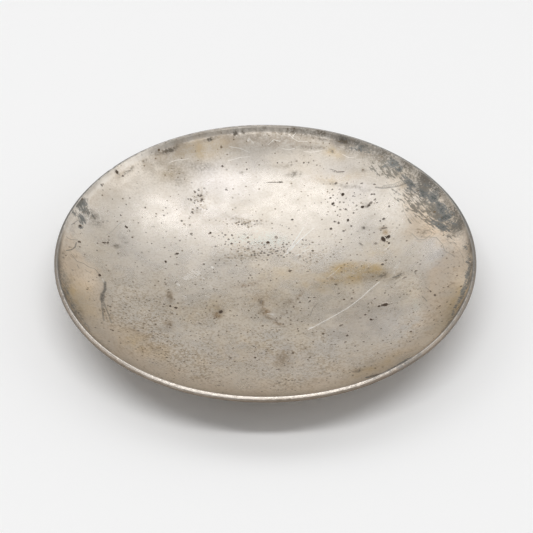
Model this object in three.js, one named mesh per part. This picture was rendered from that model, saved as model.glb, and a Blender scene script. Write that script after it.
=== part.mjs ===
// A shallow round metal dish with a rounded rim wire and a low foot ring.
// Millimetres, +Z up, origin on the axis at the level of the surface that it stands on.
import * as THREE from 'three';

// Driving dimensions.
const RIM_DIAMETER = 180; // across the outside of the rim wire
const RIM_HEIGHT = 22; // from the table to the crest of the rim wire
const SHELL_WALL = 1.8; // metal thickness of the dish, and the width of its flat edge
const WALL_CURVE = 3; // power of the inner curve: larger is flatter in the middle
const WIRE_HEIGHT = 1.9; // rim wire, from its seat to its crest
const WIRE_CREST_INSET = 0.8; // from the wire's inner side to its crest
const WIRE_OVERHANG = 0.3; // the wire stands proud of the shell's edge on each side
const FOOT_DIAMETER = 66; // across the outside of the foot ring
const FOOT_WIDTH = 3.2; // foot ring, across its flat seat
const FOOT_HEIGHT = 2.2;
const FOOT_DRAFT = 0.6; // the foot narrows by this much on each side towards the table
const SEAT_MARGIN = 0.8; // the flat under the shell reaches this far past the foot ring
const FLAT_BLEND = 4; // the underside runs from that flat into the wall over this distance

// Levels and radii worked out from them.
const RIM_RADIUS = RIM_DIAMETER / 2;
const SEAT_LEVEL = RIM_HEIGHT - WIRE_HEIGHT;
const FLOOR_LEVEL = FOOT_HEIGHT + SHELL_WALL;
const EDGE_OUTER_RADIUS = RIM_RADIUS - WIRE_OVERHANG;
const EDGE_INNER_RADIUS = EDGE_OUTER_RADIUS - SHELL_WALL;
const WIRE_INNER_RADIUS = EDGE_INNER_RADIUS - WIRE_OVERHANG;
const RISE = SEAT_LEVEL - FLOOR_LEVEL;
const FOOT_OUTER_RADIUS = FOOT_DIAMETER / 2;
const FLAT_RADIUS = FOOT_OUTER_RADIUS + SEAT_MARGIN;

// Smoothness of the turned forms.
const TURN_STEPS = 96;
const WALL_STEPS = 12;
const ROUND_STEPS = 4;

// Turns a closed profile of [radius, level] points about the Z axis.
function turned(profile) {
  const points = profile.map(([radius, level]) => new THREE.Vector2(radius, level));
  const geometry = new THREE.LatheGeometry(points, TURN_STEPS);
  geometry.rotateX(Math.PI / 2);
  return geometry;
}

// Level of the dish's inner surface at a radius.
function innerLevel(radius) {
  return FLOOR_LEVEL + RISE * (radius / EDGE_INNER_RADIUS) ** WALL_CURVE;
}

// Level of the outer surface at a radius, so that the wall is even measured square to its slope.
function outerLevel(radius) {
  const share = (radius / EDGE_INNER_RADIUS) ** (WALL_CURVE - 1);
  const slope = (WALL_CURVE * RISE * share) / EDGE_INNER_RADIUS;
  return innerLevel(radius) - SHELL_WALL * Math.hypot(1, slope);
}

// Points of a quarter ellipse from angle a to angle b, in quarter turns.
function ellipseArc(centreRadius, centreLevel, halfWidth, height, a, b) {
  const points = [];
  for (let i = 0; i <= ROUND_STEPS; i += 1) {
    const angle = (Math.PI / 2) * (a + ((b - a) * i) / ROUND_STEPS);
    points.push([centreRadius + halfWidth * Math.cos(angle), centreLevel + height * Math.sin(angle)]);
  }
  return points;
}

// The dish: flat under the middle, an even wall, and a flat edge that carries the rim wire.
function shellProfile() {
  const outer = [[0, FOOT_HEIGHT], [FLAT_RADIUS, FOOT_HEIGHT]];
  const wallStart = FLAT_RADIUS + FLAT_BLEND;
  for (let i = 0; i <= WALL_STEPS; i += 1) {
    const radius = wallStart + ((EDGE_OUTER_RADIUS - wallStart) * i) / WALL_STEPS;
    outer.push([radius, outerLevel(radius)]);
  }
  const inner = [];
  for (let i = WALL_STEPS; i >= 0; i -= 1) {
    const radius = (EDGE_INNER_RADIUS * i) / WALL_STEPS;
    inner.push([radius, innerLevel(radius)]);
  }
  return [...outer, [EDGE_OUTER_RADIUS, SEAT_LEVEL], ...inner];
}

// The rim wire: a flat seat below, a tight round inside its crest and a wide one outside it.
function wireProfile() {
  const crestRadius = WIRE_INNER_RADIUS + WIRE_CREST_INSET;
  const outerWidth = RIM_RADIUS - crestRadius;
  const outside = ellipseArc(crestRadius, SEAT_LEVEL, outerWidth, WIRE_HEIGHT, 0, 1);
  const inside = ellipseArc(crestRadius, SEAT_LEVEL, WIRE_CREST_INSET, WIRE_HEIGHT, 1, 2);
  return [...outside, ...inside.slice(1), outside[0]];
}

// The foot ring: flat above and below, with sides that draw in towards the table.
function footProfile() {
  const innerRadius = FOOT_OUTER_RADIUS - FOOT_WIDTH;
  return [
    [innerRadius + FOOT_DRAFT, 0],
    [FOOT_OUTER_RADIUS - FOOT_DRAFT, 0],
    [FOOT_OUTER_RADIUS, FOOT_HEIGHT],
    [innerRadius, FOOT_HEIGHT],
    [innerRadius + FOOT_DRAFT, 0],
  ];
}

// A named sub-part in its own finish.
function subPart(name, profile, color, roughness, metalness) {
  const material = new THREE.MeshStandardMaterial({ color, roughness, metalness });
  const mesh = new THREE.Mesh(turned(profile), material);
  mesh.name = name;
  return mesh;
}

const bowl = new THREE.Group();
bowl.add(subPart('bowl_shell', shellProfile(), 0xa39b8e, 0.45, 0.9));
bowl.add(subPart('rim_wire', wireProfile(), 0xb9b2a7, 0.35, 0.95));
bowl.add(subPart('foot_ring', footProfile(), 0x8d857a, 0.5, 0.9));

export default bowl;
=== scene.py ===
"""Looks of a shallow, aged silver dish with a rim wire and a foot ring, on a plain pale floor."""
import math

import bpy
import numpy as np
from mathutils import Euler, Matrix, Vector


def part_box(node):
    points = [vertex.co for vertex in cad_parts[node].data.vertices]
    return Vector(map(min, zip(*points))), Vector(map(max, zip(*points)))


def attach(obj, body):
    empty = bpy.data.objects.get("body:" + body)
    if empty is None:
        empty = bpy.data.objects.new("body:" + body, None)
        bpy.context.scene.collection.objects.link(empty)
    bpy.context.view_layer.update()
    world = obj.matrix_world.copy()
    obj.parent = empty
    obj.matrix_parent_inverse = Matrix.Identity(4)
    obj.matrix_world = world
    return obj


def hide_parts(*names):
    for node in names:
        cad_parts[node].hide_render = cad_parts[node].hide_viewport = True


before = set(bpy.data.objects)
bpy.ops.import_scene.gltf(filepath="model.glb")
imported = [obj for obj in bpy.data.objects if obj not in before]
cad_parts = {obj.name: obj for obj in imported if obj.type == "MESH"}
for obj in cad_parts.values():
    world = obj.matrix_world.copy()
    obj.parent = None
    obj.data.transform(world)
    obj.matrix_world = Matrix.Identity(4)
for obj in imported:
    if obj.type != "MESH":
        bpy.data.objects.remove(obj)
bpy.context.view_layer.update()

MM = 0.001


def mm_box(node):
    """Lowest and highest corner of a CAD node, in millimetres."""
    low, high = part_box(node)
    return np.array(low) / MM, np.array(high) / MM


WIRE_LOW, WIRE_HIGH = mm_box("rim_wire")
SHELL_HIGH = mm_box("bowl_shell")[1]
FOOT_HIGH = mm_box("foot_ring")[1]

# Sizes in millimetres, from the frame and from the dish's own making.
RIM_RADIUS = WIRE_HIGH[0]
RIM_HEIGHT = WIRE_HIGH[2]
SEAT_LEVEL = WIRE_LOW[2]
EDGE_RADIUS = SHELL_HIGH[0]
FOOT_RADIUS = FOOT_HIGH[0]
FOOT_HEIGHT = FOOT_HIGH[2]
WALL = 1.8
WALL_CURVE = 3
LIP_LEVEL = 21.75  # where the inside ends, just below the rim's crest
FOOT_WIDTH = 3.2
FOOT_DRAFT = 0.6
SEAT_MARGIN = 0.8
FLAT_BLEND = 4
MOUTH_RADIUS = EDGE_RADIUS - WALL
LIP_RADIUS = RIM_RADIUS - 1.65
FLARE_START = LIP_RADIUS - 2.2
WIRE_HEIGHT = RIM_HEIGHT - SEAT_LEVEL
FLOOR_LEVEL = FOOT_HEIGHT + WALL
RISE = SEAT_LEVEL - FLOOR_LEVEL

# The distance between the rings of the dish's inside, and the points round the rim wire.
RING_STEP = 0.53
RIM_COUNT = 1024
# The rim wire's section: inset from the outer edge, and share of the wire's height.
WIRE_OUTSIDE = [
    (0.12, 0), (0, 0.1), (0, 0.38), (0.1, 0.56), (0.28, 0.68), (0.5, 0.76), (0.75, 0.84), (1, 0.92),
    (1.2, 0.975), (1.36, 1),
]
WIRE_INSIDE = [(1.48, 0.985), (1.58, 0.94), (1.64, 0.86), (1.65, 0.72), (1.65, 0)]

# Area lights: degrees behind overhead and to the right, width and depth in metres, and brightness.
LIGHT_DISTANCE = 2.4
LIGHTS = {
    "key": (-9.3, 0, 2.8, 0.3, 9.3),
    "back": (29.5, 0, 1.6, 1.0, 1.0),
    "back left": (28, -35, 1.0, 1.0, 1.8),
    "back right": (28, 35, 1.0, 1.0, 0.65),
    "left": (10, -66, 1.6, 2.4, 0.4),
    "right": (10, 66, 1.6, 2.4, 0.6),
}
ROOM_LIGHT = 0.385
FLOOR_REACH = 4.0

# The camera, in metres, degrees and millimetres of lens.
CAMERA_DISTANCE = 0.63
CAMERA_ELEVATION = 41.28
CAMERA_AIM = 0.021
CAMERA_RIGHT = 0.00053
CAMERA_UP = -0.0078
LENS = 99.39
SENSOR = 36


# Noise and soft shapes, drawn on the plan of the dish: x to the right, y away from the camera.

def lattice(x, y, seed):
    """Smooth random values from 0 to 1, one draw per whole number."""
    table = np.random.default_rng(seed).random((64, 64))
    i, j = np.floor(x).astype(int), np.floor(y).astype(int)
    u, v = x - i, y - j
    u, v = u * u * (3 - 2 * u), v * v * (3 - 2 * v)
    low = table[i % 64, j % 64] * (1 - u) + table[(i + 1) % 64, j % 64] * u
    high = table[i % 64, (j + 1) % 64] * (1 - u) + table[(i + 1) % 64, (j + 1) % 64] * u
    return low * (1 - v) + high * v


def cloud(x, y, size, seed, layers=4):
    """Cloudy noise from about -1 to 1, whose largest lumps are size millimetres apart."""
    total, share = 0, 0
    for k in range(layers):
        scale = 2 ** k / size
        total = total + lattice(x * scale + 17 * k, y * scale - 11 * k, seed + k) * 0.55 ** k
        share += 0.55 ** k
    return (total / share - 0.5) * 3


def smooth(value, low, high):
    """A smooth climb from 0 to 1 while the value goes from low to high."""
    t = np.clip((value - low) / (high - low), 0, 1)
    return t * t * (3 - 2 * t)


def blob(x, y, cx, cy, rx, ry, turn=0):
    """A soft spot that is 1 in its middle and fades out past rx and ry."""
    a = math.radians(turn)
    u = ((x - cx) * math.cos(a) + (y - cy) * math.sin(a)) / rx
    v = ((y - cy) * math.cos(a) - (x - cx) * math.sin(a)) / ry
    return np.exp(-(u * u + v * v))


def blobs(x, y, rows):
    """The strongest of several blobs; each row is a strength and a blob's numbers."""
    total = np.zeros_like(x)
    for strength, *row in rows:
        total = np.maximum(total, strength * blob(x, y, *row))
    return total


def along(x, y, a, b):
    """How far along the line from a to b each point lies, and its distance from that line."""
    dx, dy = b[0] - a[0], b[1] - a[1]
    t = np.clip(((x - a[0]) * dx + (y - a[1]) * dy) / (dx * dx + dy * dy), 0, 1)
    return t, np.hypot(x - a[0] - t * dx, y - a[1] - t * dy)


def ribbon(x, y, points):
    """A soft band through points, each given as x, y, half width and strength."""
    total = np.zeros_like(x)
    for a, b in zip(points, points[1:]):
        t, distance = along(x, y, a, b)
        width = a[2] + (b[2] - a[2]) * t
        strength = a[3] + (b[3] - a[3]) * t
        total = np.maximum(total, strength * smooth(distance / width, 1.5, 0.4))
    return total


def ribbons(x, y, bands):
    """The strongest of several ribbons."""
    total = np.zeros_like(x)
    for band in bands:
        total = np.maximum(total, ribbon(x, y, band))
    return total


def inside(x, y, points, soft):
    """1 well inside an outline, 0 well outside it, with an edge soft millimetres wide."""
    odd = np.zeros(x.shape, bool)
    nearest = np.full(x.shape, 1e9)
    for a, b in zip(points, points[1:] + points[:1]):
        crosses = (a[1] > y) != (b[1] > y)
        rise = b[1] - a[1] if b[1] != a[1] else 1
        odd ^= crosses & (x < (b[0] - a[0]) * (y - a[1]) / rise + a[0])
        nearest = np.minimum(nearest, along(x, y, a, b)[1])
    return smooth(np.where(odd, nearest, -nearest), -soft / 2, soft / 2)


# Colours of the metal and of what lies on it. A pair is for what varies between two.
BARE = (0.800, 0.742, 0.668), (0.860, 0.800, 0.728)
LIP_METAL = (0.80, 0.75, 0.68), (0.88, 0.84, 0.78)
VEIL = (0.70, 0.63, 0.53)
GRIME = (0.50, 0.43, 0.35)
BACK_BAND_GREY = (0.44, 0.395, 0.34)
WARM_TINT = (1.01, 0.95, 0.85)
COOL_TINT = (0.995, 1.01, 1.07)
FRECKLE = (0.46, 0.345, 0.215)
TAN = (0.66, 0.52, 0.38), (0.78, 0.655, 0.515)
GROOVE_BROWN = (0.44, 0.33, 0.225)
CRACK = (0.27, 0.20, 0.14)
STAIN = (0.65, 0.485, 0.265)
UNDER = (0.34, 0.295, 0.25), (0.43, 0.385, 0.335)
SCUFF = (0.62, 0.575, 0.52)
HAZE = (0.2, 0.185, 0.16)
STREAK = (0.165, 0.155, 0.13)
BLUE_GREY = (0.19, 0.193, 0.184), (0.078, 0.09, 0.09)
SMEAR = (0.35, 0.22, 0.115)
ROOT = (0.2, 0.178, 0.15)
SMUDGE = (0.15, 0.125, 0.095)
LACE = (0.42, 0.32, 0.205)
FLECK = (0.15, 0.1, 0.055)
SPECK = (0.09, 0.068, 0.05)
HAIRLINE = (0.80, 0.76, 0.70)
DARK_LINE = (0.145, 0.138, 0.122)
PIT = (0.06, 0.038, 0.023)
PALE_LINE = (0.92, 0.88, 0.82)
RIM_METAL = (0.42, 0.355, 0.29), (0.615, 0.562, 0.505)
RIM_BROWN = (0.36, 0.30, 0.24)
RIM_TARNISH_AND_SHADE = (0.225, 0.18, 0.14)
RIM_ROOT = (0.20, 0.185, 0.17)
RIM_LINE = (0.22, 0.19, 0.16)
# Painted shade and painted light for the back half of the rim.
REAR_PAINTED_SHADE = (0.17, 0.158, 0.14)
REAR_PAINTED_LIGHT = (0.55, 0.50, 0.44), (0.86, 0.81, 0.75)
RIM_BLUE = (0.16, 0.16, 0.152)
FOOT_METAL = (0.36, 0.32, 0.27), (0.49, 0.445, 0.39)
FOOT_SPOT = (0.16, 0.135, 0.11)


# Broad patches of the patina, in millimetres on the plan. A blob is a strength, a middle, two half
# widths and sometimes a turn in degrees. A band's points are x, y, half width and strength.
FRONT = (-12, -52)  # the front half, from where it begins to where it is full
# The outline of the clean metal in the middle.
CLEAN_POOL = [
    (60, 47), (61.6, 37.6), (62.6, 30), (63.8, 23.9), (66, 19), (68.1, 15.8), (72, 14.8), (75, 14.5),
    (77, 9), (77.6, 4), (74, -1), (69.5, -4), (67.6, -10), (67.4, -15), (66.2, -20.6), (65.7, -31),
    (63.5, -39), (58, -46), (50, -52), (40, -60), (28, -67), (10, -71), (-10, -71), (-26, -66),
    (-38, -59), (-46, -50), (-50, -40), (-60, -36), (-65, -28), (-68, -20), (-69.5, -10), (-71, -4),
    (-77, -1), (-82, 4), (-84, 12), (-82, 30), (-72, 48), (-56, 62), (-36, 74), (-10, 80), (20, 80),
    (42, 70), (54, 58),
]
# Where the tan film goes inside that outline.
FILM_PATCHES = [(0.8, 68, 27, 5, 8, -30), (0.12, 79, 10, 4, 7)]
# Parts that stay less warm than the rest.
UNWARMED = [
    (0.6, -20, 64, 14, 12), (0.6, 4, -42, 9, 8), (0.5, 56, -40, 12, 14), (0.6, 82, 2, 6, 12),
    (0.5, 74, 0, 8, 14), (0.35, -36, -14, 14, 14), (0.4, 44, 58, 14, 6, -30), (0.4, 26, -40, 14, 9),
]
# Blue-grey tarnish: its bands and dark cores, a paler haze along the rim, shade down the left side
# and bands of short dark streaks.
BLUE_BANDS = [
    [(40, -75, 1, 0.7), (47, -71.5, 0.8, 0.6), (55, -67, 0.8, 0.65), (59, -64, 0.6, 0.4)],
    [(87.2, -2, 1, 0.3), (86.6, -11, 1.2, 0.55), (84, -22.6, 1.2, 0.6), (80.9, -31, 1.2, 0.5),
     (76.8, -40, 1, 0.4), (71.5, -50, 0.8, 0.35)],
    [(-88, -6, 0.8, 0.3), (-85.5, -19, 2, 0.36), (-80, -34, 2.2, 0.33), (-72, -48, 2, 0.2)],
]
BLUE_CORES = [
    (0.65, 44, 74, 4, 2, -30), (0.4, 49, 71.5, 3, 1.6, -35), (0.95, 58.5, 62.3, 3.4, 1.9, -48),
    (0.7, 54.3, 62.3, 1, 1.2), (0.7, 61, 58.3, 1.7, 1.6), (0.9, 66, 49.5, 4.4, 1.9, -45),
    (0.7, 63.2, 52.8, 2.4, 1, -42), (0.6, 64.5, 46.5, 2.6, 2, -20), (1, 71, 42.3, 3.2, 1.4, -42),
    (0.5, 67.5, 44.2, 2.6, 1, -30), (1, 75.5, 38.5, 3.2, 2.6, -60), (1, 79, 31, 4.4, 1.7, -68),
    (1.4, 80.4, 25.4, 3, 2.2), (0.6, 83.2, 19.6, 2.8, 1.3, -65), (0.25, 84.8, 12.5, 2.8, 0.9, -78),
    (1, 77.6, 20.6, 5.6, 1.4, -58), (0.8, 74.7, 25.6, 2, 1, -50), (0.5, 73.3, 37, 1.2, 0.7),
    (0.4, 86.4, 3, 4, 0.9, -88), (0.6, 37, 79.6, 4, 1.5, -28), (0.7, 72.5, 45.8, 2.6, 0.9, -48),
    (0.6, 81.8, 28.5, 2, 0.8, -66), (0.7, 77.5, 34.6, 2.4, 1.4, -60), (0.6, 81.4, 22.6, 2.4, 0.9, -62),
    (1.2, -82.6, 31, 3, 4, -25), (0.65, -79.4, 28.6, 3.4, 2.6, -30), (0.4, -76.2, 26.4, 2.6, 1.6, -40),
    (0.85, -80.4, 23.4, 1.8, 3, 10), (0.9, -80.6, 18.8, 1.3, 1, 20), (0.6, -84.4, 24, 1.6, 2.4),
]
HAZE_BAND = [
    (14, 86.5, 2, 0.4), (28, 83.5, 3, 0.45), (38, 79, 4, 0.5), (47, 74, 5.5, 0.55), (55, 67.5, 6, 0.65),
    (62, 61, 6, 0.7), (67.5, 55, 6.4, 0.8), (72, 48, 7, 0.95), (76.5, 40, 7, 1), (80, 31.5, 6.4, 1),
    (82.6, 24, 5.4, 1), (84.6, 16.5, 3.4, 0.7), (86.4, 8, 1.4, 0.15), (87.2, -2, 1.4, 0.35),
]
LEFT_HAZE = (0.4, -75, 25, 3.4, 4, -20)
SIDE_SHADE = [
    (-88, -2, 1, 0.2), (-86.4, -14, 2.2, 0.45), (-83.4, -25, 2.2, 0.35), (-79, -37, 2, 0.15),
    (-72, -50, 2, 0.1),
]
STREAK_BANDS = [
    [(50, 64, 2.4, 0.6), (54, 60, 4, 0.9), (59, 56.5, 4, 0.85), (63, 53.5, 3, 0.6)],
    [(58, 48, 2.4, 0.4), (64, 42.5, 5, 0.75), (69, 37, 5.4, 0.95), (73.5, 31, 5, 1), (77, 24, 4.6, 1),
     (80.4, 17.5, 3, 0.8), (82.6, 11, 2, 0.35), (84.5, 4, 1.6, 0.25)],
]
# Yellow stains, brown smears and dark smudges.
STAINS = [
    (1.2, 36, 5.5, 7, 4, 5), (1.4, 43, 3, 7, 4.4, -14), (1.1, 49, 0, 4.5, 3, -25), (0.8, 30, -2, 9, 4, 4),
    (0.9, 38, -1.5, 9, 4), (0.5, 47, -3, 6, 3), (0.5, 22, -6.5, 8, 4, 10), (0.45, 20, -5, 8, 4),
    (0.25, 1, -14, 8, 14), (0.4, -20, -19, 5, 6), (0.2, -36, -26, 12, 9), (0.6, -78, -27, 7, 12, 25),
    (0.4, 8, -56, 6, 4), (0.45, 44, -66, 14, 4, 32), (0.55, 80, -32, 6, 18, -22), (0.3, 50, 14, 8, 8),
    (0.3, -14, -56, 14, 7), (0.8, 30, 2, 6, 3), (0.35, 10, 2, 16, 7), (0.5, -52, -48, 6, 8, 35),
    (0.4, -44, -54, 8, 5, -40), (0.5, 54, 24.5, 1.6, 2.4, 10), (0.55, -19.4, -25.4, 1.5, 2.4, 15),
    (0.35, 34, 60, 12, 3, -8), (0.35, -42, 62, 7, 5, 30), (0.5, 32, 74, 5, 2.5, -20),
    (0.45, -30, 76, 14, 5, 14), (0.3, -6, -45, 20, 10, 10), (0.3, 64, 56, 6, 5, -45),
]
BROWN_SMEARS = [
    (0.9, -1.5, -15.6, 1.1, 3, 5), (0.9, 0.6, -22.4, 1.8, 2.2, 30), (0.75, 5.6, -30, 2.6, 0.8, -50),
    (0.6, -0.6, -19, 0.9, 3.4, 14), (0.7, 3, -26.4, 2.8, 0.9, -38), (0.3, -2, -13, 4, 4),
    (0.8, -19.6, -25, 1.5, 2.4, 15), (0.8, -40.6, -14.4, 1.1, 2.8, 8), (0.25, 40, -2.6, 5, 1.2, -10),
    (0.6, 28, 0.2, 2.6, 0.8, -8), (0.5, 11, -16, 1.4, 2.4, 40), (0.5, 14, -12, 3, 1, 60),
    (0.5, 6.8, -54, 3, 4.4), (0.6, -40.3, -33, 1.6, 2.4), (0.45, -52, -42, 4, 1.6, -30),
    (0.4, -46, -50, 5, 2, -40), (0.5, 54, 25, 1.4, 2), (0.6, 42.6, -74, 2.4, 1.4, 20),
    (0.6, 37.2, -67.2, 1.8, 1.3), (0.4, -8, -4, 6, 1.4, 20), (0.5, 52.5, 28, 2.4, 0.8, 5),
]
SMUDGES = [
    (0.55, -76, 27, 3.4, 2.8, -30), (0.5, -74, 24, 2.6, 2.2, -30), (0.3, -84.6, 14, 1.4, 4, 8),
    (0.3, -66, -57, 6, 1.6, -45), (0.35, -83, -20, 1.6, 5, 10), (0.3, -77, -35, 1.6, 6, 24),
    (0.4, -42, 62, 6, 7, -15), (0.25, -49, 66, 7, 5, 40), (0.35, -30, 68, 10, 3.5, 12),
    (0.45, -10, 13.5, 11, 3.6, 8), (0.5, -8, 19.4, 1.6, 1.4), (0.3, -20, 11, 4, 3),
    (0.35, -8, 37, 8, 2, -20), (0.75, -65.1, 12.7, 1.9, 1.2, 15), (0.5, -61.6, 16.4, 1.3, 0.8, 40),
    (0.35, -63, 19, 1.6, 1), (0.75, 13.4, 64.7, 1.8, 1.3), (0.45, 10, 65.3, 1.3, 0.9),
    (0.45, 17.2, 63.8, 1.2, 1.1, -60), (0.3, 8, 70, 8, 1.2, -2), (0.9, 51, -2.6, 2, 1.5),
    (0.6, 58, -4, 4.5, 1.4, 12), (1, -41.2, -11.3, 1, 1.3), (1, -40.6, -14.6, 1.1, 2.6, 8),
    (1, -18.7, -22, 1.2, 1.5, -25), (0.8, -1.8, -15.5, 1.2, 2.8, 5), (0.8, -1, -22, 1.8, 2.4, 30),
    (0.4, 9, -18, 3.5, 6, -30), (0.6, 6.8, -54, 3, 5), (0.35, 9, -16, 4, 3), (0.75, -40.3, -33, 1.3, 2.6),
    (0.6, 5.4, -61.2, 0.7, 0.7), (0.8, 42.4, -74, 1.9, 1.4), (0.8, 37.2, -67.2, 1.3, 1.2),
    (0.7, 42.7, -60.7, 1.3, 0.7), (0.5, -66.4, -55.3, 1.3, 0.9), (0.5, -62.3, -60.3, 1.2, 1),
    (0.4, 47.2, 43.2, 1.6, 1.3, 40), (0.35, 44.4, 29.3, 1.6, 1.3), (0.4, 53.4, 28, 1.4, 0.7),
    (0.4, 31, -39.3, 3.6, 1.6, -8), (0.4, 70, 20, 2, 2), (0.6, -10.3, 66.3, 1.1, 0.8, 30),
    (0.2, -30, 50, 2.2, 3.6, -30), (0.3, -31, 42, 2.2, 1.6, 30), (0.3, 0, 84, 30, 3),
    (0.35, 38, 55, 12, 1, -24),
]
RIM_MOTTLES = [
    (0.9, -14, 85.3, 5.5, 1.3, 9), (0.8, -27, 81.6, 3, 0.9, 18), (0.9, -46, 73.4, 8, 1.3, 32),
    (0.7, -56, 65, 2.2, 1, 42), (0.7, -63, 58.5, 3.5, 0.9, 45), (0.6, -67.5, 54.8, 1, 0.8),
    (0.75, 10, 86.4, 5, 1.2, -6), (0.9, 25, 84.2, 5, 1, -16), (0.8, 37, 79, 4, 1.1, -25),
    (0.55, -2, 87, 8, 1), (0.5, 45, 62, 2, 0.7, -20), (0.7, 31.8, 74.6, 1.1, 0.8, -20),
    (0.5, 20, 78, 9, 0.9, -14), (0.5, 24, 82, 5, 0.7, -18),
]
# Lighter and darker parts of the metal: partly the metal's own uneven tone, partly painted highlights
# over the bright reflections and painted shade where the dish is darkened.
TONES_AND_PAINTED_LIGHT = [
    (0.34, -20, 64, 10, 7), (0.2, -43, 36, 7, 10, 30), (0.32, 2, 26, 20, 8), (0.3, 18, 16, 14, 12),
    (0.25, 0, 10, 14, 6), (0.36, -16, 24, 16, 12), (0.2, -30, 2, 7, 10, 20), (0.1, 14, 36, 12, 6),
    (-0.25, -38, 47, 6, 7), (-0.16, -8, -14, 9, 7), (-0.12, 18, -22, 9, 9), (0.2, 0, -54, 46, 18),
    (0.3, 72, 5, 5, 9, -8), (-0.35, 67, 30, 4, 9, 8), (0.5, -75, -10, 5, 14), (-0.1, -42, 60, 6, 9, -20),
    (0.6, -61, 56, 13, 8, 45), (-0.15, -30, 52, 4, 10, -30), (-0.5, 46, 32, 10, 14, 10),
    (-0.24, 44, -1, 12, 5), (-0.15, 26, -7, 8, 5), (0.36, 63.5, -24, 3.4, 22, -2), (0.2, 56, -44, 10, 10),
    (0.1, 60, -12, 8, 12), (0.15, -56, -20, 10, 14), (0.35, -83, 9, 5, 9), (-0.1, -66, -56, 10, 8, -45),
    (0.4, 84, 8, 2.5, 6), (-0.3, 84, 16, 2.5, 3), (0.5, 83.5, -22, 3, 10, 12), (-0.1, 34, 52, 7, 6),
    (-0.25, 47, -2, 4, 3), (-0.2, 3, -14, 8, 8), (0.16, -46, -48, 16, 9, -20), (-0.14, -62, 18, 8, 12),
    (0.12, 20, 70, 14, 5, -8), (-0.3, 34, 78, 10, 4, -25), (0.25, 73, 32, 3, 5, 15),
    (-0.5, -22, 79, 28, 5, 12), (-0.3, -6, 76, 8, 4), (-0.3, -38, 74, 5, 4, 30), (-0.45, 8, 79.5, 22, 4),
    (-0.4, -42, 75, 10, 4, 30), (-0.25, 70, 47, 6, 4, -45), (0.3, 57, 65, 6, 5, -45),
    (-0.2, -20, -21, 3, 3), (0.3, -6, 35, 6, 3, -20), (0.12, 72, 6, 5, 6), (0.2, 0, 5, 12, 6),
    (0.2, 60, -16, 5, 14), (0.14, -40, -30, 12, 8), (-0.3, 0, -84, 26, 3), (-0.35, -16, 84, 24, 2.6, 8),
    (0.4, 66, -54, 12, 2.5, 50), (0.4, -66, -54, 12, 2.5, -50), (-0.2, -51, -45, 7, 5, -30),
    (0.12, 8, 22, 22, 9),
]
# Parts of the metal with a cooler, whiter tint; over the bright reflections this tint is a painted
# highlight.
COOL_TINT_AND_HIGHLIGHT_PARTS = [
    (1, -20, 60, 18, 12), (0.6, -30, 40, 20, 14), (0.7, -4, -54, 30, 10), (0.6, 42, -30, 16, 14),
    (0.5, 74, 2, 8, 14), (0.7, 42, 52, 10, 8), (0.5, 30, 62, 12, 5), (0.15, 2, 20, 14, 6),
    (0.5, 40, -72, 8, 4, 30),
]
# Where the brown flecks lie closer, and clusters of tiny dark specks.
FLECK_PATCHES = [
    (0.35, 5, 17, 6.5, 4.6), (0.4, -10, 17, 14, 6, 8), (0.5, -30, 47, 4, 7), (0.45, -9, 37, 9, 3),
    (0.2, -40, -52, 16, 9, -35), (0.3, 22, 14, 12, 8),
]
SPECK_CLUSTERS = [
    (0.95, 4, 18.3, 6.5, 4.2), (0.4, -8, 16, 8, 5, 8), (0.2, 12, 21, 9, 6), (0.85, -31, 50, 2.6, 4),
    (0.6, -31, 42.4, 2.6, 1.6), (0.2, 42, 46, 8, 7), (0.3, -8, 36.6, 7, 2), (0.2, -14, 26, 11, 5),
    (0.25, 33, 45, 8, 7), (0.2, 50, 27, 4, 5),
]
# Layers that the outside of the dish has as well as the inside.
BOTH_SIDES = ("warm", "cool_and_highlight", "broad", "mottle", "tone_and_light")
# Where the rim's crest is lightest: partly wear, partly a painted highlight along the front.
RIM_WEAR_AND_HIGHLIGHT = [(1, -26, -86, 32, 26, -12), (0.5, 26, -86, 30, 20, 18), (0.35, -70, -55, 22, 30, -40)]
# The sheet's gentle unevenness, in millimetres of lift.
LUMPS = [
    (0.14, -41, 62, 10, 12, -20), (-0.1, -22, 66, 14, 10, 10), (-0.1, -45, 37, 9, 11, 30),
    (0.08, -30, 46, 6, 14, -25), (0.08, 4, 47, 14, 5, 0), (-0.07, 38, 50, 14, 9, -25),
    (0.1, -5, 76, 22, 6, 0), (-0.08, 60, 30, 8, 14, 15),
]
# Small dents of the edge: place on the plan, half width and depth.
NICKS = [
    (-84.3, -30.5, 1.4, 0.35), (-58, -68.6, 1, 0.2), (36, -82, 1.2, 0.18), (71, -54.8, 1, 0.2),
    (-70, 56, 1, 0.2),
]

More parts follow.
